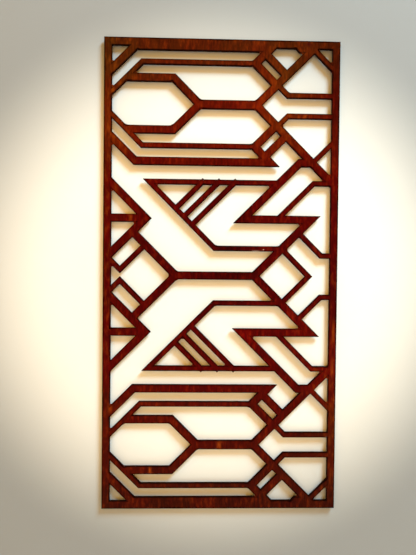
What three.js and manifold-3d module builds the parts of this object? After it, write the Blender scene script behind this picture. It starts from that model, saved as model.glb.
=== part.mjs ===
// Lattice wall panel: a mashrabiya-like screen cut in one piece out of a sheet of stained wood.
//
// Millimetres. +Z is up, +X is to the right of a viewer, and the face that is looked at points to -Y.
// The origin lies on the back face, at the panel's centre, in the middle of the long bar there.
//
// The pattern is drawn flat, with x counted from the left edge and d counted down from the top edge.
// Its bars are level or at 45 degrees. The upper half is drawn and mirrored down, and the fretwork at
// the top of that half is mirrored about a line of its own.

import * as THREE from 'three';
import Module from 'manifold-3d';
import { mergeVertices } from 'three/addons/utils/BufferGeometryUtils.js';

// Sheet and borders
const PANEL_WIDTH = 600;
const PANEL_HEIGHT = 1200;
const SHEET_THICKNESS = 6;
const BORDER = 20.1;

// Widths of the bars
const WIDE_BAR = 20.7;
const NARROW_BAR = 13.7;
const TIE_BAR = 23.1;

// Fretwork: its mirror line, counted down from the top edge, and its levels, counted from that line
const FRET_LINE = 164.8;
const STUB_LEVEL = 26.1;
const RING_LEVEL = 65.5;
const INNER_LEVEL = 105.3;
const OUTER_LEVEL = 145;

// Fretwork: where its 45 degree bars, or their lines beyond the panel, cross the mirror line.
// The first three are counted from the left edge, and the others from the right edge inwards.
const OUTER_LEFT = -65.7;
const INNER_LEFT = -8.9;
const RING_POINT = 241.6;
const FORK_POINT = 213;
const HOOK_BRACE = 321.9;
const BRACE_IN = 110.9;
const BRACE_OUT = 59.8;
const STUB_BRACE = 106.2;
const CORNER_BRACE = -77.1;

// Middle field: levels counted up from the panel's mid line
const ARROW_LEVEL = 145.1;
const BEAK_LEVEL = 13.6;
const KITE_TOP = 238.2;
const KITE_BOTTOM = 70;
const LEDGE_LEVEL = 53.3;

// Middle field: where centre lines bend, the first four counted from the left edge, and the others
// from the right edge
const ARROW_POINT = 107.9;
const BEAK_POINT = 42.5;
const KITE_POINT = 115.6;
const MID_BAR_LEFT = 184.3;
const MID_BAR_RIGHT = 214.6;
const HOOK_BEND = 100;
const SHELF_BEND = 63.6;
const LEDGE_BEND = 42.7;
const DIAMOND_POINT = 74;

// Slats in the kite, counted along its top bar from the left edge
const SLAT_COUNT = 3;
const FIRST_SLAT = 250.8;
const SLAT_SPACING = 41.5;

// The slats end square, this far above the top bar's centre line, so that one corner of each stands
// out of the bar's upper edge as a small tooth
const SLAT_OVERRUN = 5.4;

const WOOD = new THREE.MeshStandardMaterial({ color: 0x5a1a0a, roughness: 0.55, metalness: 0 });

// Lines and bars of the drawing

// A line holds the points where nx * x + nd * d = c
const level = (d) => ({ nx: 0, nd: 1, c: d });
const upright = (x) => ({ nx: 1, nd: 0, c: x });
const rising = (x, d) => ({ nx: 1, nd: 1, c: x + d });
const falling = (x, d) => ({ nx: 1, nd: -1, c: x - d });

const fromRight = (distance) => PANEL_WIDTH - distance;

function crossing(a, b) {
  const det = a.nx * b.nd - b.nx * a.nd;
  const x = (a.c * b.nd - b.c * a.nd) / det;
  const d = (a.nx * b.c - b.nx * a.c) / det;
  return new THREE.Vector2(x, d);
}

// The first and last line cut a bar's ends. Those between are its centre lines, mitred at each bend.
const bar = (width, ...lines) => ({ width, lines });

// A line or a bar mirrored about the level line at the depth axis
const flipLine = ({ nx, nd, c }, axis) => ({ nx, nd: -nd, c: c - 2 * axis * nd });
const flipBar = ({ width, lines }, axis) => bar(width, ...lines.map((line) => flipLine(line, axis)));

function barOutline({ width, lines }) {
  const bends = lines.slice(1).map((line, i) => crossing(lines[i], line));
  const last = lines.length - 1;
  const edge = (side) => {
    const moved = lines.map((line, i) => {
      if (i === 0 || i === last) return line;
      const travel = bends[i].clone().sub(bends[i - 1]);
      const turn = Math.sign(travel.x * line.nd - travel.y * line.nx);
      return { ...line, c: line.c + (side * turn * width * Math.hypot(line.nx, line.nd)) / 2 };
    });
    return moved.slice(1).map((line, i) => crossing(moved[i], line));
  };
  return [...edge(1), ...edge(-1).reverse()];
}

// Lines that several bars share
const leftStile = upright(BORDER / 2);
const rightStile = upright(fromRight(BORDER / 2));
const topRail = level(BORDER / 2);
const midDepth = PANEL_HEIGHT / 2;

const ringLevel = level(FRET_LINE + RING_LEVEL);
const innerLevel = level(FRET_LINE + INNER_LEVEL);
const outerLevel = level(FRET_LINE + OUTER_LEVEL);
const innerLeft = falling(INNER_LEFT, FRET_LINE);
const forkDown = falling(fromRight(FORK_POINT), FRET_LINE);
const hookBrace = falling(fromRight(HOOK_BRACE), FRET_LINE);
const braceIn = rising(fromRight(BRACE_IN), FRET_LINE);
const braceOut = rising(fromRight(BRACE_OUT), FRET_LINE);
const stubBrace = rising(fromRight(STUB_BRACE), FRET_LINE);
const hook = rising(fromRight(HOOK_BEND), FRET_LINE + OUTER_LEVEL);

const arrowDepth = midDepth - ARROW_LEVEL;
const beakDepth = midDepth - BEAK_LEVEL;
const kiteDepth = midDepth - KITE_TOP;
const ledgeDepth = midDepth - LEDGE_LEVEL;
const arrowLow = rising(ARROW_POINT, arrowDepth);
const kiteSide = falling(KITE_POINT, kiteDepth);
const leftStrut = falling(MID_BAR_LEFT, midDepth);
const rightStrut = rising(fromRight(MID_BAR_RIGHT), midDepth);

// Fretwork bars below its mirror line, which are mirrored up as well
const fretHalf = [
  bar(WIDE_BAR, leftStile, falling(OUTER_LEFT, FRET_LINE), outerLevel, hookBrace, braceIn, forkDown),
  bar(NARROW_BAR, leftStile, innerLeft, innerLevel, upright(crossing(innerLevel, hookBrace).x)),
  bar(WIDE_BAR, hookBrace, braceOut, forkDown),
  bar(NARROW_BAR, forkDown, stubBrace, level(FRET_LINE + STUB_LEVEL), rightStile),
  bar(NARROW_BAR, forkDown, rising(fromRight(CORNER_BRACE), FRET_LINE), rightStile),
];

// Fretwork bars that lie across its mirror line: the ring, the tie bar and the fork
const upward = (line) => flipLine(line, FRET_LINE);
const ringSide = rising(RING_POINT, FRET_LINE);
const fretAcross = [
  bar(WIDE_BAR, innerLeft, ringLevel, ringSide, upward(ringSide), upward(ringLevel), upward(innerLeft)),
  bar(TIE_BAR, upright(RING_POINT), level(FRET_LINE), upright(fromRight(FORK_POINT))),
  bar(WIDE_BAR, topRail, upward(forkDown), forkDown, rightStile),
];

// Above the fretwork the long bent bar's mirror image is cut off by the sheet's edge: only a step in
// the rail's lower edge is left of it
const aboveSheet = level(-BORDER);
const stepInRail = bar(WIDE_BAR, upward(forkDown), upward(outerLevel), upward(hook), aboveSheet);

// Middle field, upper half: the long bent bar, the arrow and its tie, the beak, the kite, the shelf
// and the ledge
const arrowLevel = level(arrowDepth);
const kiteLevel = level(kiteDepth);
const middleHalf = [
  bar(WIDE_BAR, forkDown, outerLevel, hook, arrowLevel, rightStrut, level(midDepth), leftStrut, arrowLow),
  bar(WIDE_BAR, leftStile, falling(ARROW_POINT, arrowDepth), arrowLow, leftStile),
  bar(WIDE_BAR, leftStile, arrowLevel, upright(ARROW_POINT)),
  bar(NARROW_BAR, leftStrut, rising(BEAK_POINT, beakDepth), falling(BEAK_POINT, beakDepth), leftStile),
  bar(NARROW_BAR, hook, kiteLevel, kiteSide, level(midDepth - KITE_BOTTOM), rightStrut),
  bar(NARROW_BAR, arrowLevel, rising(fromRight(SHELF_BEND), kiteDepth), kiteLevel, rightStile),
  bar(NARROW_BAR, rightStrut, falling(fromRight(LEDGE_BEND), ledgeDepth), level(ledgeDepth), rightStile),
];

// Slats that fill the kite's corner
const slats = Array.from({ length: SLAT_COUNT }, (_, i) => {
  const x = FIRST_SLAT + i * SLAT_SPACING;
  const squareEnd = falling(x + SLAT_OVERRUN, kiteDepth - SLAT_OVERRUN);
  return bar(NARROW_BAR, kiteSide, rising(x, kiteDepth), squareEnd);
});

// Diamond on the mid line
const diamond = bar(NARROW_BAR, rightStrut, falling(fromRight(DIAMOND_POINT), midDepth),
  rising(fromRight(DIAMOND_POINT), midDepth), flipLine(rightStrut, midDepth));

// Solids

const wasm = await Module();
wasm.setup();

function solidOf(geometry) {
  const bare = geometry.clone();
  bare.deleteAttribute('normal');
  bare.deleteAttribute('uv');
  const merged = mergeVertices(bare);
  const vertProperties = new Float32Array(merged.attributes.position.array);
  const triVerts = new Uint32Array(merged.index.array);
  return new wasm.Manifold(new wasm.Mesh({ numProp: 3, vertProperties, triVerts }));
}

function geometryOf(solid) {
  const { vertProperties, triVerts } = solid.getMesh();
  const geometry = new THREE.BufferGeometry();
  geometry.setAttribute('position', new THREE.BufferAttribute(vertProperties, 3));
  geometry.setIndex(new THREE.BufferAttribute(triVerts, 1));
  geometry.computeVertexNormals();
  return geometry;
}

// Turns the drawing upright, with its thickness towards the viewer
const [right, up, towards] = [[1, 0, 0], [0, 0, 1], [0, -1, 0]].map((v) => new THREE.Vector3(...v));
const hangUpright = new THREE.Matrix4().makeBasis(right, up, towards);

// An outline of the drawing as a plate of the sheet's thickness, in the panel's own frame
function plate(points) {
  const shape = new THREE.Shape(points.map((p) => new THREE.Vector2(p.x - PANEL_WIDTH / 2, midDepth - p.y)));
  const geometry = new THREE.ExtrudeGeometry(shape, { depth: SHEET_THICKNESS, bevelEnabled: false });
  return solidOf(geometry.applyMatrix4(hangUpright));
}

function rectangle(inset) {
  const [left, right] = [inset, PANEL_WIDTH - inset];
  const [top, bottom] = [inset, PANEL_HEIGHT - inset];
  return [[left, top], [right, top], [right, bottom], [left, bottom]].map(([x, d]) => new THREE.Vector2(x, d));
}

const joined = (bars) => bars.map((one) => plate(barOutline(one))).reduce((sum, one) => sum.add(one));

function latticePanel() {
  const fret = [...fretHalf, ...fretHalf.map((one) => flipBar(one, FRET_LINE)), ...fretAcross, stepInRail];
  const upperHalf = [...fret, ...middleHalf, ...slats];
  const bars = [...upperHalf, ...upperHalf.map((one) => flipBar(one, midDepth)), diamond];
  const sheet = plate(rectangle(0));
  const border = sheet.subtract(plate(rectangle(BORDER)));
  return joined(bars).intersect(sheet).add(border);
}

const panel = new THREE.Mesh(geometryOf(latticePanel()), WOOD);
panel.name = 'lattice_panel';

const screen = new THREE.Group();
screen.add(panel);

export default screen;
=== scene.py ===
from math import pi, radians

import bpy
import numpy as np
from mathutils import Matrix, Vector
from mathutils.geometry import delaunay_2d_cdt


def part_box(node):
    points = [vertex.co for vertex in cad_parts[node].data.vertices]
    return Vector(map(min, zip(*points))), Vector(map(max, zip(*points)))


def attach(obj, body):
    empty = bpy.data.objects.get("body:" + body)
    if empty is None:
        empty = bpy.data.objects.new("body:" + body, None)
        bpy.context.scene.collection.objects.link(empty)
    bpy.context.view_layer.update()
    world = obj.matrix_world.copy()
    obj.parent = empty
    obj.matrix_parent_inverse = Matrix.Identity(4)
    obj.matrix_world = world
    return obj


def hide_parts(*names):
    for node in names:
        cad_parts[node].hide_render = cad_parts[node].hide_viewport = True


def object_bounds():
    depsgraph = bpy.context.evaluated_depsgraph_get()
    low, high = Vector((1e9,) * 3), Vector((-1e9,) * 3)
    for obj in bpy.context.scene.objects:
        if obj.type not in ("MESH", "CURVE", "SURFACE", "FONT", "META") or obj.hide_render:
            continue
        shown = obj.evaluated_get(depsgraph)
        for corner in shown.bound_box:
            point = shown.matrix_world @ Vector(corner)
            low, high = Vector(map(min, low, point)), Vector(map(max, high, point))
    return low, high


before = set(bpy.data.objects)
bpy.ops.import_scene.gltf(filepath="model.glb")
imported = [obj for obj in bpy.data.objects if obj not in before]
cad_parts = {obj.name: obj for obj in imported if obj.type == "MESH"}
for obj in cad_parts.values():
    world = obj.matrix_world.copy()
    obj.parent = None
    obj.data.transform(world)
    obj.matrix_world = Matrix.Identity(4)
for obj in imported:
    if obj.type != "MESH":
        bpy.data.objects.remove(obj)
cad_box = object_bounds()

# A lattice wall panel, cut by laser out of one sheet of wood and stained, hung a little off a wall.
#
# Metres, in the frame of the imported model: +Z is up, the face that is looked at points to -Y, and the
# origin is at the centre of the back. One piece is made here. It stands for the node lattice_panel,
# whose outline it reads, and adds the eased and scorched cut edge, the relief of the grain, a chip and
# the finish.

# The sheet and its cut edge, whose front arris sways by a share over a length
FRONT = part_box("lattice_panel")[0].y
THICKNESS = -FRONT
EDGE_STEP = 0.008
EASED_FRONT = 0.00045
EASED_BACK = 0.0002
WALL_BOW = 0.00008
EASED_SWAY = (0.35, 0.057)
SHARP_ANGLE = radians(38)
ROUND_STEPS = 3
WALL_STEPS = 4

# Scorching of the cut edge: its reach onto the face, how far that sways over what length, and its
# strength halfway in and at the arris
SCORCH_REACH = 0.0031
SCORCH_SWAY = (0.3, 0.083)
RIM_SCORCH = 0.65
ARRIS_SCORCH = 0.9

# Spacing of the points of the two faces, how each row is shifted in parts of it, and how far the
# points stay off the cut edge
FRONT_GRID = (0.002, 0.004)
BACK_GRID = (0.005, 0.010)
ODD_ROW_SHIFT = 0.5
ROW_SWAY = (0.2, 7.0)
FACE_CLEAR = 0.0044

# Relief of the grain on the front: its depth, the width over which it starts, its waves as (pitch,
# swing, reach of the swing) and their common slant
GRAIN_RELIEF = 0.00007
GRAIN_FADE = 0.004
GRAIN_WAVES = ((0.0053, 0.6, 0.41), (0.0081, 0.9, 0.27), (0.0147, 1.3, 0.63))
GRAIN_SLANT = 9

# The slow waves that vary the edge, each as ((share of x, share of z), length, phase)
SLOW_WAVES = (((1.0, 0.31), 1.0, 0.0), ((0.47, -1.0), 0.73, 1.3), ((0.83, 0.61), 1.61, 4.1))

# Spots on the panel as ((x, z), (reach to the side, reach upwards), strength)
LIGHT_STREAKS = (
    ((0.2113, 0.4101), (0.0030, 0.012), 1.0),
    ((-0.2309, 0.1474), (0.0030, 0.014), 0.8),
    ((-0.0002, -0.4358), (0.0045, 0.014), 0.9),
    ((-0.1766, -0.5019), (0.0030, 0.010), 1.0),
    ((0.2915, -0.1430), (0.0025, 0.024), 0.7),
    ((0.2900, -0.2350), (0.0035, 0.022), 0.5),
    ((-0.0960, -0.2170), (0.0030, 0.010), 0.5),
    ((-0.2800, -0.3420), (0.0060, 0.010), 0.5),
)
KNOT = ((0.2184, 0.5921), (0.0065, 0.0045), 1.0)
STAIN_CLOUDS = (
    ((0.025, 0.080), (0.055, 0.150), -0.55),
    ((0.120, 0.430), (0.090, 0.100), 0.40),
    ((-0.240, 0.390), (0.050, 0.090), 0.35),
    ((0.290, 0.500), (0.035, 0.140), -0.40),
    ((-0.290, 0.050), (0.040, 0.200), 0.20),
    ((0.270, -0.280), (0.060, 0.110), 0.35),
    ((0.230, -0.415), (0.060, 0.050), -0.35),
    ((0.050, -0.150), (0.040, 0.030), 0.60),
    ((-0.030, -0.140), (0.020, 0.060), -0.35),
    ((-0.180, -0.320), (0.040, 0.060), 0.25),
    ((0.180, -0.100), (0.040, 0.060), 0.30),
)
# Browner patches, partly stain and partly painted sheen: on the left stile, the top and the lower right
# stile, less brown in the middle
BROWN_AND_SHEEN_CLOUDS = (
    ((-0.285, 0.380), (0.060, 0.250), 0.90),
    ((-0.290, 0.000), (0.040, 0.250), 0.60),
    ((0.160, 0.420), (0.090, 0.120), 0.80),
    ((0.285, -0.330), (0.050, 0.220), 0.90),
    ((0.000, 0.000), (0.250, 0.380), -0.80),
    ((0.030, 0.470), (0.060, 0.080), -0.40),
    ((0.290, 0.440), (0.030, 0.120), -0.60),
)
RUBBED_EDGE = ((0.0900, 0.0631), (0.0085, 0.0016), 0.6)

# The chip: its place, reaches and depth, its ragged rim as (share, radians a metre in x and in z), its
# steepness and what is cut off at its foot, how far its bare wood shows, and the fine points round it
CHIP_PLACE = (0.1087, 0.0676)
CHIP_REACH = (0.0014, 0.0010)
CHIP_DEPTH = 0.0003
CHIP_RAGGED = (0.35, 2900, 3700)
CHIP_STEEPNESS = 1.6
CHIP_FOOT = 0.35
CHIP_BARE = 2
CHIP_GRID = 0.0004
CHIP_PATCH = 0.004
CHIP_CLEAR = 0.1

# Patches a metre of the finish along x, y and z, and the layers of finer patches in them
CLOUDED = ((34, 34, 13), 2.0)
BANDED = ((110, 110, 45), 3.0)
FIBROUS = ((260, 260, 40), 4.0)
PORED = ((1500, 1500, 60), 2.0)
SOOTY = ((900, 60, 900), 2.0)
CUT_LINED = ((1900, 40, 1900), 1.0)
PATCH_ROUGHNESS = 0.6

# Screen colours from the foot of the panel to its top, with the sway of their levels: red stain, browner
# at the top and foot with painted sheen, darker at the foot
STAIN_WITH_SHEEN = (
    (0.00, (58, 14, 3)),
    (0.16, (79, 13, 2)),
    (0.33, (83, 3, 2)),
    (0.52, (72, 1, 2)),
    (0.68, (85, 3, 2)),
    (0.82, (92, 17, 2)),
    (1.00, (74, 27, 4)),
)
STAIN_SWAY = 0.09
DARK_CLOUD = (64, 3, 3)
BROWN_BAND = (118, 42, 5)
PORE = (30, 3, 3)
LIGHT_STREAK = (170, 72, 14)
KNOT_RED = (58, 4, 8)
SOOT = (7, 3, 2)
BARE_WOOD = (226, 190, 168)
FLOOR = (190, 186, 178)

# Camera and lens
CAMERA_PLACE = (-0.0574, -1.0709, 0.0114)
CAMERA_AIM = (-0.0324, 0.0, -0.0049)
CAMERA_ROLL = radians(0.572)
LENS = 27.05
FILM_WIDTH = 36

# Wall, floor, lights and room
WALL_GAP = 0.006
WALL_PLACE = (-0.015, WALL_GAP, -0.020)
WALL_SIZE = 6.0
FLOOR_DROP = 1.0
# The wall's painted pool of light: pale and warm round its middle, with painted shade that greys and
# cools it outwards
WALL_PAINTED_FALLOFF = (0.38, 0.76)
WALL_INNER = (0.92, 0.91, 0.85, 1)
WALL_PAINTED_SHADE = (0.30, 0.31, 0.31, 1)
KEY_PLACE = (2.0, -2.0, 3.5)
KEY_SIZE = (1.5, 1.25)
KEY_COLOUR = (0.42, 0.72, 0.93)
KEY_WATTS = 380
BACK_PLACE = (-1.2, 2.6, 1.6)
BACK_SIZE = (2.4, 2.0)
BACK_COLOUR = (1.0, 0.92, 0.82)
BACK_WATTS = 100
FRONT_ROOM = (1.0, 0.56, 0.14, 1)
BACK_ROOM = (1.0, 0.94, 0.88, 1)
BACKDROP = (0.80, 0.79, 0.77, 1)
ROOM_STRENGTH = 1.2
ROOM_BLEND = 0.1

# Parts of a metre that corners are merged to, places worked on at a time, and the least step apart
# that the triangulation knows
MERGE_GRID = 1e6
CHUNK = 4000
SAME_PLACE = 1e-9


def paint(red, green, blue):
    """A screen colour of 0 to 255 as scene light: a straight foot, then a power of 2.4."""
    screen = np.array([red, green, blue]) / 255
    foot = screen / 12.92
    curve = ((screen + 0.055) / 1.055) ** 2.4
    return tuple(np.where(screen > 0.04045, curve, foot).tolist()) + (1.0,)


# The outline of the sheet

def front_outline(node):
    """Corners (x, z) of the node's front outline, and the number of the corner after each.

    The loose triangles are merged by their corners, rounded to the merge grid. A side that only one
    of the front triangles has lies on the outline, and it runs with the wood on its left.
    """
    mesh = node.data
    places = np.empty(3 * len(mesh.vertices))
    mesh.vertices.foreach_get("co", places)
    rounded = np.round(places.reshape(-1, 3) * MERGE_GRID).astype(np.int64)
    merged, number = np.unique(rounded, axis=0, return_inverse=True)
    corner_of = np.empty(len(mesh.loops), dtype=np.int64)
    mesh.loops.foreach_get("vertex_index", corner_of)
    triangles = number.reshape(-1)[corner_of].reshape(-1, 3)
    front = triangles[(merged[triangles, 1] == merged[:, 1].min()).all(axis=1)]
    starts = front.reshape(-1)
    ends = np.roll(front, -1, axis=1).reshape(-1)
    lone = ~np.isin(starts * len(merged) + ends, ends * len(merged) + starts)
    used = np.unique(starts[lone])
    after = np.empty(len(used), dtype=np.int64)
    after[np.searchsorted(used, starts[lone])] = np.searchsorted(used, ends[lone])
    return merged[used][:, [0, 2]] / MERGE_GRID, after


def spaced_outline(corners, after):
    """Points along the outline, the number of the point after each, and their mitres.

    A side of length s is cut into round(s / EDGE_STEP) equal steps. A point's mitre is the sum of the
    unit normals n and m of the two sides that meet there, over 1 + n.m, so that moving the points by w
    times their mitres moves every side by w into the wood.
    """
    span = corners[after] - corners
    length = np.hypot(span[:, 0], span[:, 1])
    steps = np.maximum(1, np.round(length / EDGE_STEP)).astype(np.int64)
    side = np.repeat(np.arange(len(corners)), steps)
    first = np.cumsum(steps) - steps
    share = (np.arange(len(side)) - first[side]) / steps[side]
    points = corners[side] + share[:, None] * span[side]
    follower = np.arange(len(side)) + 1
    follower[first + steps - 1] = first[after]
    normal = np.stack([-span[:, 1], span[:, 0]], axis=1) / length[:, None]
    leaving = normal[side]
    arriving = leaving.copy()
    arriving[first[after]] = normal
    mitre = (arriving + leaving) / (1 + (arriving * leaving).sum(axis=1))[:, None]
    return points, follower, mitre


def clearance(points, corners, after):
    """Each point's distance to the outline, less than 0 outside the wood.

    The distance is the least of those to the sides. A point is in the wood where a level ray from it
    crosses an odd number of sides.
    """
    start, end = corners, corners[after]
    span = end - start
    rise = np.where(span[:, 1] == 0, 1, span[:, 1])
    found = np.empty(len(points))
    for low in range(0, len(points), CHUNK):
        here = points[low:low + CHUNK, None]
        offset = here - start
        share = np.clip((offset * span).sum(axis=2) / (span ** 2).sum(axis=1), 0, 1)
        away = offset - share[..., None] * span
        nearest = np.sqrt((away ** 2).sum(axis=2)).min(axis=1)
        spans_level = (start[:, 1] > here[..., 1]) != (end[:, 1] > here[..., 1])
        ahead = here[..., 0] < start[:, 0] + span[:, 0] * offset[..., 1] / rise
        crossings = (spans_level & ahead).sum(axis=1)
        found[low:low + CHUNK] = np.where(crossings % 2 == 1, nearest, -nearest)
    return found


# Shapes on the sheet

def slow_wave(x, z, scale):
    """A smooth, uneven wave between -1 and 1: the mean of sines whose lengths don't match."""
    total = 0
    for (across, upwards), length, phase in SLOW_WAVES:
        total = total + np.sin(2 * pi * (across * x + upwards * z) / (length * scale) + phase)
    return total / len(SLOW_WAVES)


def grain_relief(x, z):
    """Depth of the grain, from 0 to GRAIN_RELIEF: ridges that run upwards and sway to the side.

    Each wave is the sine of x over its pitch, with a phase that swings and slants with z.
    """
    total = 0
    for pitch, swing, reach in GRAIN_WAVES:
        sway = swing * np.sin(2 * pi * z / reach)
        total = total + np.sin(2 * pi * x / pitch + sway + GRAIN_SLANT * z)
    return GRAIN_RELIEF * (0.5 + 0.5 * total / len(GRAIN_WAVES))


def soft_spot(x, z, centre, reach):
    """A spot that is 1 at its centre: exp of minus the squared distance, in reaches."""
    across = (x - centre[0]) / reach[0]
    upwards = (z - centre[1]) / reach[1]
    return np.exp(-across ** 2 - upwards ** 2)


def spot_sum(x, z, spots):
    """The sum of some soft spots, each times its strength."""
    return sum(strength * soft_spot(x, z, centre, reach) for centre, reach, strength in spots)


def chip_dent(x, z):
    """The chip's depth as a share: a steep spot times a product of sines, cut off at its foot."""
    share, across, upwards = CHIP_RAGGED
    ragged = 1 + share * np.sin(across * x + 1.0) * np.sin(upwards * z + 0.4)
    spot = soft_spot(x, z, CHIP_PLACE, CHIP_REACH)
    return np.clip(CHIP_STEEPNESS * spot * ragged - CHIP_FOOT, 0, 1)


# The panel's mesh

def edge_section(points):
    """Insets, depths and scorching of the cut edge, as rows from the front face to the back.

    The section starts on the face, where the scorching fades in, turns over the eased arris in a
    quarter round, goes down the wall, which bows in by the sine of its depth, and turns over the
    small arris of the back. The arris and the reach of the scorching vary slowly along the outline.
    """
    x, z = points.T
    none = np.zeros(len(points))
    eased = EASED_FRONT * (1 + EASED_SWAY[0] * slow_wave(x, z, EASED_SWAY[1]))
    reach = SCORCH_REACH * (1 + SCORCH_SWAY[0] * slow_wave(x, z, SCORCH_SWAY[1]))
    rows = [(reach, none, none), ((reach + eased) / 2, none, none + RIM_SCORCH)]
    turns = np.linspace(0, pi / 2, ROUND_STEPS + 1)
    for turn in turns:
        scorch = ARRIS_SCORCH + (1 - ARRIS_SCORCH) * turn / (pi / 2)
        rows.append((eased * (1 - np.sin(turn)), eased * (1 - np.cos(turn)), none + scorch))
    foot = THICKNESS - EASED_BACK
    for share in np.linspace(0, 1, WALL_STEPS + 1)[1:]:
        bow = WALL_BOW * np.sin(pi * share)
        rows.append((none + bow, eased + share * (foot - eased), none + 1))
    for turn in turns[1:]:
        inset = EASED_BACK * (1 - np.cos(turn))
        rows.append((none + inset, none + foot + EASED_BACK * np.sin(turn), none + 1))
    return [np.array(part) for part in zip(*rows)]


def scattered(grid):
    """A grid of points over the sheet, shifted from row to row so that no two rows line up."""
    half_width, _, half_height = cad_box[1]
    x = np.arange(-half_width, half_width, grid[0])
    z = np.arange(-half_height, half_height, grid[1])
    row = np.arange(len(z))[:, None]
    shift = ODD_ROW_SHIFT * (row % 2) + ROW_SWAY[0] * np.sin(ROW_SWAY[1] * row)
    shifted = x[None, :] + grid[0] * shift
    return np.stack([shifted, z[:, None] + 0 * shifted], axis=2).reshape(-1, 2)


def chip_patch():
    """A fine grid of points round the chip."""
    across = np.arange(-CHIP_PATCH, CHIP_PATCH, CHIP_GRID)
    x, z = np.meshgrid(CHIP_PLACE[0] + across, CHIP_PLACE[1] + across)
    return np.stack([x, z], axis=2).reshape(-1, 2)


def covered(ring, follower, inner, corners, after):
    """Triangles that cover the wood inside a ring, through the inner points.

    They are a Delaunay triangulation that keeps the ring's sides. Of the triangles that touch only the
    ring, those whose centre lies off the wood are dropped.
    """
    points = np.concatenate([ring, inner])
    sides = np.stack([np.arange(len(ring)), follower], axis=1)
    made = delaunay_2d_cdt(points.tolist(), sides.tolist(), [], 0, SAME_PLACE, False)
    if len(made[0]) != len(points):
        raise ValueError("the triangulation added or merged points")
    triangles = np.array(made[2])
    on_ring = (triangles < len(ring)).all(axis=1)
    centres = points[triangles[on_ring]].mean(axis=1)
    off_wood = np.flatnonzero(on_ring)[clearance(centres, corners, after) < 0]
    return np.delete(triangles, off_wood, axis=0)


def strip_faces(rows, follower):
    """Quads between each row of points and the next, all the way round the outline."""
    here = np.arange(len(follower))
    count = len(follower)
    step = np.stack([here, here + count, follower + count, follower], axis=1)
    return (np.arange(rows - 1)[:, None, None] * count + step).reshape(-1, 4)


def mesh_of(name, places, quads, triangles):
    """A mesh from whole arrays of places, quads and triangles, smooth up to the sharp angle."""
    mesh = bpy.data.meshes.new(name)
    corner_of = np.concatenate([quads.reshape(-1), triangles.reshape(-1)])
    sides = np.concatenate([np.full(len(quads), 4), np.full(len(triangles), 3)])
    mesh.vertices.add(len(places))
    mesh.loops.add(len(corner_of))
    mesh.polygons.add(len(sides))
    mesh.vertices.foreach_set("co", places.reshape(-1))
    mesh.loops.foreach_set("vertex_index", corner_of)
    mesh.polygons.foreach_set("loop_start", np.cumsum(sides) - sides)
    mesh.update(calc_edges=True)
    mesh.validate()
    mesh.shade_smooth()
    mesh.set_sharp_from_angle(angle=SHARP_ANGLE)
    return mesh


def set_shares(mesh, name, values):
    """A number from -1 to 1 for each point, under a name that the material reads."""
    mesh.attributes.new(name, "FLOAT", "POINT").data.foreach_set("value", values.astype(np.float32))


def lattice_panel():
    """The whole panel: the cut edge swept along the outline, and the two faces that close it.

    The points are the rows of the sweep, then the front's inner points, then the back's. covered()
    counts a face's ring first and its inner points after it, so its numbers are moved to theirs.
    """
    corners, after = front_outline(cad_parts["lattice_panel"])
    outline, follower, mitre = spaced_outline(corners, after)
    inset, depth, burnt = edge_section(outline)
    swept = outline + inset[..., None] * mitre
    swept_depth = depth.reshape(-1)
    ring_front, ring_back = swept[0], swept[-1]
    coarse = scattered(FRONT_GRID)
    near_chip = soft_spot(*coarse.T, CHIP_PLACE, (CHIP_PATCH, CHIP_PATCH)) > CHIP_CLEAR
    candidates = np.concatenate([coarse[~near_chip], chip_patch()])
    off_edge = clearance(candidates, corners, after)
    front_inner = candidates[off_edge > FACE_CLEAR]
    front_clear = off_edge[off_edge > FACE_CLEAR]
    candidates = scattered(BACK_GRID)
    back_inner = candidates[clearance(candidates, corners, after) > FACE_CLEAR]

    x, z = front_inner.T
    fade = np.clip((front_clear - FACE_CLEAR) / GRAIN_FADE, 0, 1)
    front_depth = fade * grain_relief(x, z) + CHIP_DEPTH * chip_dent(x, z)
    flat = np.concatenate([swept.reshape(-1, 2), front_inner, back_inner])
    deep = np.concatenate([swept_depth, front_depth, np.full(len(back_inner), THICKNESS)])
    places = np.stack([flat[:, 0], FRONT + deep, flat[:, 1]], axis=1)

    count = len(outline)
    total = swept_depth.size
    front = covered(ring_front, follower, front_inner, corners, after)
    front = np.where(front < count, front, front - count + total)
    back = covered(ring_back, follower, back_inner, corners, after)
    back = np.where(back < count, back + total - count, back - count + total + len(front_inner))
    quads = strip_faces(len(inset), follower)
    mesh = mesh_of("lattice panel", places, quads, np.concatenate([front, back[:, ::-1]]))

    x, z = flat.T
    faced = deep < THICKNESS / 2
    figure = np.clip(spot_sum(x, z, LIGHT_STREAKS), 0, 1) - spot_sum(x, z, [KNOT])
    bare = np.clip(chip_dent(x, z) * CHIP_BARE, 0, 1) + spot_sum(x, z, [RUBBED_EDGE])
    burnt = np.concatenate([burnt.reshape(-1), np.zeros(len(front_inner) + len(back_inner))])
    set_shares(mesh, "scorch", burnt)
    set_shares(mesh, "figure", figure * faced)
    set_shares(mesh, "clouds", spot_sum(x, z, STAIN_CLOUDS))
    set_shares(mesh, "browning_and_sheen", spot_sum(x, z, BROWN_AND_SHEEN_CLOUDS))
    set_shares(mesh, "bare", np.clip(bare, 0, 1) * faced)
    panel = bpy.data.objects.new("stained_lattice_panel", mesh)
    bpy.context.scene.collection.objects.link(panel)
    return panel


# Materials

def add(tree, kind, inputs, **settings):
    """One node with its settings, whose inputs, by name or number, are values or others' outputs."""
    node = tree.nodes.new(kind)
    for name, value in settings.items():
        setattr(node, name, value)
    for name, value in inputs.items():
        if isinstance(value, bpy.types.NodeSocket):
            tree.links.new(value, node.inputs[name])
        else:
            node.inputs[name].default_value = value
    return node


def new_material(name):
    """A material with an empty tree."""
    material = bpy.data.materials.new(name)
    material.use_nodes = True
    material.node_tree.nodes.clear()
    return material, material.node_tree


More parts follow.
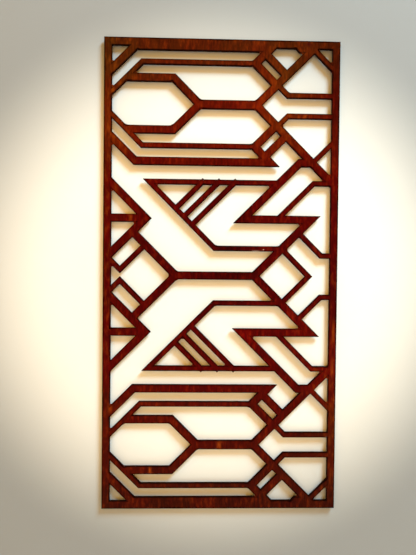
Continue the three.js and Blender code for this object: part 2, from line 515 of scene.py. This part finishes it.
def streaked(tree, place, patches, detail):
    """Noise with so many patches a metre along x, y and z, and layers of finer ones in them."""
    drawn = add(tree, "ShaderNodeMapping", {"Vector": place, "Scale": patches}).outputs[0]
    layers = {"Vector": drawn, "Scale": 1.0, "Detail": detail, "Roughness": PATCH_ROUGHNESS}
    return add(tree, "ShaderNodeTexNoise", layers).outputs["Fac"]


def ranged(tree, value, low, high, first=0.0, last=1.0):
    """The value moved from the range low to high onto the range first to last, and held there."""
    spread = {"Value": value, "From Min": low, "From Max": high, "To Min": first, "To Max": last}
    return add(tree, "ShaderNodeMapRange", spread).outputs[0]


def mixed(tree, share, first, second, how="MIX"):
    """Two colours, or shades of grey, blended by a share in the way named."""
    inputs = {0: share, 6: first, 7: second}
    return add(tree, "ShaderNodeMix", inputs, data_type="RGBA", blend_type=how).outputs[2]


def joined(tree, how, first, second):
    """Two numbers joined by one operation."""
    return add(tree, "ShaderNodeMath", {0: first, 1: second}, operation=how).outputs[0]


def shades(tree, share, stops):
    """A colour ramp that eases between its stops, each a place from 0 to 1 and a screen colour."""
    node = add(tree, "ShaderNodeValToRGB", {"Fac": share})
    ramp = node.color_ramp
    ramp.interpolation = "EASE"
    for place, colour in stops[2:]:
        ramp.elements.new(place)
    for element, (place, colour) in zip(ramp.elements, stops):
        element.position = place
        element.color = paint(*colour)
    return node.outputs["Color"]


def held(tree, name):
    """A number that the mesh holds for each point."""
    return add(tree, "ShaderNodeAttribute", {}, attribute_name=name).outputs["Fac"]


def stained_wood():
    """Red-brown stain over an upright grain, browned at the top and foot by painted sheen, with scorched
    cut edges.
    """
    material, tree = new_material("stained_wood_finish")
    place = add(tree, "ShaderNodeTexCoord", {}).outputs["Object"]
    cloud = streaked(tree, place, *CLOUDED)
    bands = streaked(tree, place, *BANDED)
    fibres = streaked(tree, place, *FIBROUS)
    pores = streaked(tree, place, *PORED)
    figure = held(tree, "figure")
    scorch = held(tree, "scorch")

    # The stain by its height, browner at the top and foot with painted sheen; its levels sway a little
    height = add(tree, "ShaderNodeSeparateXYZ", {"Vector": place}).outputs["Z"]
    half_height = cad_box[1][2]
    sway = add(tree, "ShaderNodeTexNoise", {"Vector": place, "Scale": 7.0, "Detail": 2.0}).outputs["Fac"]
    level = joined(tree, "ADD", height, ranged(tree, sway, 0.3, 0.7, -STAIN_SWAY, STAIN_SWAY))
    stain_with_sheen = shades(tree, ranged(tree, level, -half_height, half_height), STAIN_WITH_SHEEN)

    # Dark clouds, brown bands, and the light and dark of the bands, the fibres and the clouds
    clouded = ranged(tree, cloud, 0.35, 0.68, 0.0, 0.4)
    colour = mixed(tree, clouded, stain_with_sheen, paint(*DARK_CLOUD))
    banded = ranged(tree, bands, 0.5, 0.75, 0.0, 0.4)
    colour = mixed(tree, banded, colour, paint(*BROWN_BAND))
    band_tone = ranged(tree, bands, 0.3, 0.65, 0.70, 1.10)
    fibre_tone = ranged(tree, fibres, 0.3, 0.7, 0.6, 1.35)
    cloud_tone = ranged(tree, held(tree, "clouds"), -1.0, 1.0, 0.0, 2.0)
    tone = joined(tree, "MULTIPLY", joined(tree, "MULTIPLY", band_tone, fibre_tone), cloud_tone)
    colour = add(tree, "ShaderNodeVectorMath", {0: colour, "Scale": tone}, operation="SCALE").outputs[0]

    # The stain is browner where its green is raised: partly stain, partly painted sheen
    green = ranged(tree, held(tree, "browning_and_sheen"), -1.0, 1.0, 0.1, 1.9)
    tint = add(tree, "ShaderNodeCombineColor", {"Red": 1.0, "Green": green, "Blue": 1.0}).outputs[0]
    colour = mixed(tree, 1.0, colour, tint, "MULTIPLY")

    # Pores, light streaks that the fibres break up, and the knot
    pored = ranged(tree, pores, 0.58, 0.7, 0.0, 0.6)
    colour = mixed(tree, pored, colour, paint(*PORE))
    broken = ranged(tree, fibres, 0.3, 0.6, 0.4, 0.8)
    light = joined(tree, "MULTIPLY", ranged(tree, figure, 0.0, 1.0), broken)
    colour = mixed(tree, light, colour, paint(*LIGHT_STREAK))
    knotted = ranged(tree, figure, 0.0, -1.0, 0.0, 0.75)
    colour = mixed(tree, knotted, colour, paint(*KNOT_RED))

    # Soot of the cut, and bare wood where it is chipped or rubbed
    soot = ranged(tree, streaked(tree, place, *SOOTY), 0.3, 0.7, 0.75, 1.0)
    charred = joined(tree, "MULTIPLY", ranged(tree, scorch, 0.0, 0.9), soot)
    colour = mixed(tree, charred, colour, paint(*SOOT))
    colour = mixed(tree, held(tree, "bare"), colour, paint(*BARE_WOOD))

    # Relief: fibres and pores on the faces, and the fine lines of the cut on its wall
    raised = joined(tree, "MULTIPLY", fibres, 0.5)
    sunk = joined(tree, "MULTIPLY", pores, -0.8)
    cut_lines = streaked(tree, place, *CUT_LINED)
    relief = mixed(tree, ranged(tree, scorch, 0.6, 1.0), joined(tree, "ADD", raised, sunk), cut_lines)
    bump = add(tree, "ShaderNodeBump", {"Strength": 0.3, "Distance": 0.0002, "Height": relief})
    roughness = ranged(tree, joined(tree, "ADD", fibres, scorch), 0.3, 1.2, 0.4, 1.0)
    shader = add(tree, "ShaderNodeBsdfPrincipled", {
        "Base Color": colour,
        "Roughness": roughness,
        "Specular IOR Level": 0.03,
        "Normal": bump.outputs[0],
    })
    add(tree, "ShaderNodeOutputMaterial", {"Surface": shader.outputs[0]})
    return material


def wall_paint_with_painted_shade():
    """Pale paint with a painted pool of light: painted shade greys and cools it outwards, by the
    distance from the wall's middle.

    It is clear from behind, so that the panel's back shows.
    """
    material, tree = new_material("pale_wall_with_painted_shade")
    place = add(tree, "ShaderNodeTexCoord", {}).outputs["Object"]
    out = add(tree, "ShaderNodeVectorMath", {0: place}, operation="LENGTH").outputs["Value"]
    # Painted shade: darker and cooler with the distance from the wall's middle
    spread = {"Value": out, "From Min": WALL_PAINTED_FALLOFF[0], "From Max": WALL_PAINTED_FALLOFF[1]}
    fade = add(tree, "ShaderNodeMapRange", spread, interpolation_type="SMOOTHSTEP").outputs[0]
    colour = mixed(tree, fade, WALL_INNER, WALL_PAINTED_SHADE)
    coat = add(tree, "ShaderNodeBsdfPrincipled", {
        "Base Color": colour,
        "Roughness": 0.9,
        "Specular IOR Level": 0.1,
    })
    clear = add(tree, "ShaderNodeBsdfTransparent", {})
    behind = add(tree, "ShaderNodeNewGeometry", {}).outputs["Backfacing"]
    sides = add(tree, "ShaderNodeMixShader", {0: behind, 1: coat.outputs[0], 2: clear.outputs[0]})
    add(tree, "ShaderNodeOutputMaterial", {"Surface": sides.outputs[0]})
    return material


def floor_paint():
    """Plain pale floor."""
    material, tree = new_material("pale_floor")
    coat = add(tree, "ShaderNodeBsdfPrincipled", {"Base Color": paint(*FLOOR), "Roughness": 0.8})
    add(tree, "ShaderNodeOutputMaterial", {"Surface": coat.outputs[0]})
    return material


# Stage, lights and camera

def flat_sheet(name, centre, turn, size, material):
    """A square sheet of the stage, turned about its centre and moved to its place."""
    half = size / 2
    places = [(-half, -half, 0), (half, -half, 0), (half, half, 0), (-half, half, 0)]
    mesh = bpy.data.meshes.new(name)
    mesh.from_pydata(places, [], [(0, 1, 2, 3)])
    mesh.materials.append(material)
    sheet = bpy.data.objects.new(name, mesh)
    sheet.matrix_world = Matrix.Translation(centre) @ turn
    bpy.context.scene.collection.objects.link(sheet)
    return sheet


def facing(place, aim, roll=0.0):
    """A matrix at a place whose -Z looks at the aim, turned about that line by the roll."""
    look = (Vector(aim) - Vector(place)).to_track_quat("-Z", "Y").to_matrix().to_4x4()
    return Matrix.Translation(place) @ look @ Matrix.Rotation(roll, 4, "Z")


def area_light(name, place, aim, width, height, watts, colour):
    """A soft rectangular light."""
    light = bpy.data.lights.new(name, "AREA")
    light.shape = "RECTANGLE"
    light.size = width
    light.size_y = height
    light.energy = watts
    light.color = colour
    lamp = bpy.data.objects.new(name, light)
    lamp.matrix_world = facing(place, aim)
    lamp.visible_camera = False
    bpy.context.scene.collection.objects.link(lamp)
    return lamp


def world_light():
    """Soft light from all round: warm from the side that the panel faces, paler from behind it.

    What the camera sees of the room is plain and pale.
    """
    world = bpy.data.worlds.new("room")
    world.use_nodes = True
    tree = world.node_tree
    tree.nodes.clear()
    look = add(tree, "ShaderNodeTexCoord", {}).outputs["Generated"]
    backwards = add(tree, "ShaderNodeSeparateXYZ", {"Vector": look}).outputs["Y"]
    behind = ranged(tree, backwards, -ROOM_BLEND, ROOM_BLEND)
    colour = mixed(tree, behind, FRONT_ROOM, BACK_ROOM)
    glow = add(tree, "ShaderNodeBackground", {"Color": colour, "Strength": ROOM_STRENGTH})
    backdrop = add(tree, "ShaderNodeBackground", {"Color": BACKDROP, "Strength": 1.0})
    looked_at = add(tree, "ShaderNodeLightPath", {}).outputs["Is Camera Ray"]
    both = add(tree, "ShaderNodeMixShader", {0: looked_at, 1: glow.outputs[0], 2: backdrop.outputs[0]})
    add(tree, "ShaderNodeOutputWorld", {"Surface": both.outputs[0]})
    bpy.context.scene.world = world


def camera():
    """The camera at the photograph's viewing angle."""
    lens = bpy.data.cameras.new("camera")
    lens.lens = LENS
    lens.sensor_width = FILM_WIDTH
    viewer = bpy.data.objects.new("camera", lens)
    viewer.matrix_world = facing(CAMERA_PLACE, CAMERA_AIM, CAMERA_ROLL)
    bpy.context.scene.collection.objects.link(viewer)
    bpy.context.scene.camera = viewer


# The camera and the panel

camera()
panel = lattice_panel()
panel.data.materials.append(stained_wood())
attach(panel, "root")
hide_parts("lattice_panel")

# The wall, which doesn't shade the panel's back from the light behind it, the floor and the lights

upright = Matrix.Rotation(radians(90), 4, "X")
wall = flat_sheet("wall", WALL_PLACE, upright, WALL_SIZE, wall_paint_with_painted_shade())
wall.visible_shadow = False
flat_sheet("floor", (0, 0, -FLOOR_DROP), Matrix.Identity(4), WALL_SIZE, floor_paint())
key_light = area_light("key light", KEY_PLACE, (0, 0, 0), *KEY_SIZE, KEY_WATTS, KEY_COLOUR)
key_light.visible_glossy = False
area_light("back light", BACK_PLACE, (0, 0, 0), *BACK_SIZE, BACK_WATTS, BACK_COLOUR)
world_light()
bpy.context.scene.view_settings.view_transform = "Standard"
